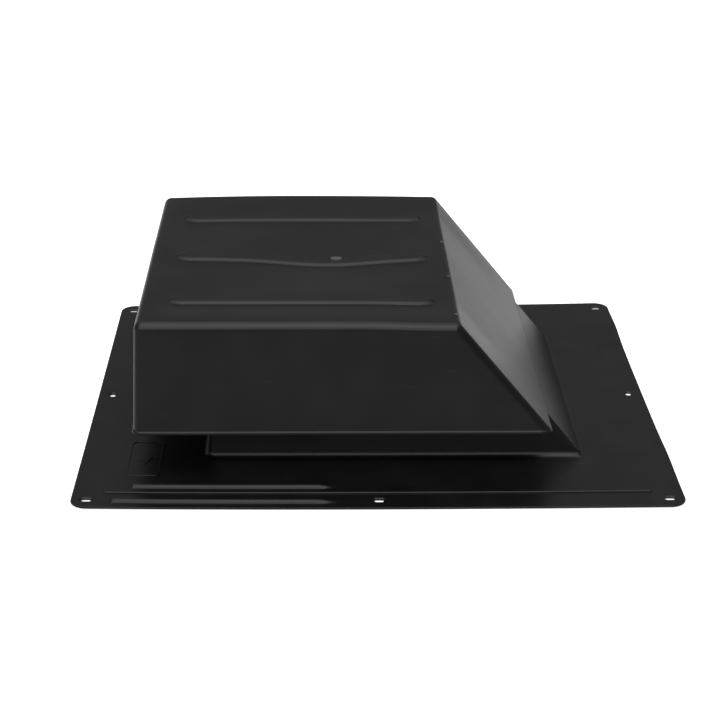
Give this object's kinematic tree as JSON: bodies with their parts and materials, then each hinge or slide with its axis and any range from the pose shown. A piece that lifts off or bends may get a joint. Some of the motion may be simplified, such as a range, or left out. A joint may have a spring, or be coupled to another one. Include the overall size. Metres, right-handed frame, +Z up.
{
  "type": "roof vent cover",
  "caption": "Slant-back static roof vent: nail-down base with a raised screened throat and ramp, and an overhanging hood with a drip skirt.",
  "frame": {"origin": "middle of the flange's underside, on the roof deck", "axes": "+Z up off the deck, +X up the roof slope towards the ramp, -X down the slope towards the open end of the hood, Y across the roof"},
  "size_m": [0.4572, 0.419, 0.1292],
  "materials": {
    "base_plastic": "black polypropylene, satin, fine even grain",
    "hood_plastic": "black polypropylene, satin, fine even grain",
    "frame_plastic": "black polypropylene, matte",
    "post_plastic": "black polypropylene, matte",
    "screen_mesh": "woven wire, dull",
    "sealant": "soft black butyl strip",
    "screw_steel": "zinc plated"
  },
  "bodies": {
    "root": {"base_flashing": "base_plastic", "hood": "hood_plastic", "screen_frame": "frame_plastic", "insect_screen": "screen_mesh", "ramp_seal": "sealant", "hood_screws": "screw_steel", "screen_screws": "screw_steel", "hood_post_front_left": "post_plastic", "hood_post_front_right": "post_plastic", "hood_post_back_left": "post_plastic", "hood_post_back_right": "post_plastic"}
  },
  "joints": []
}
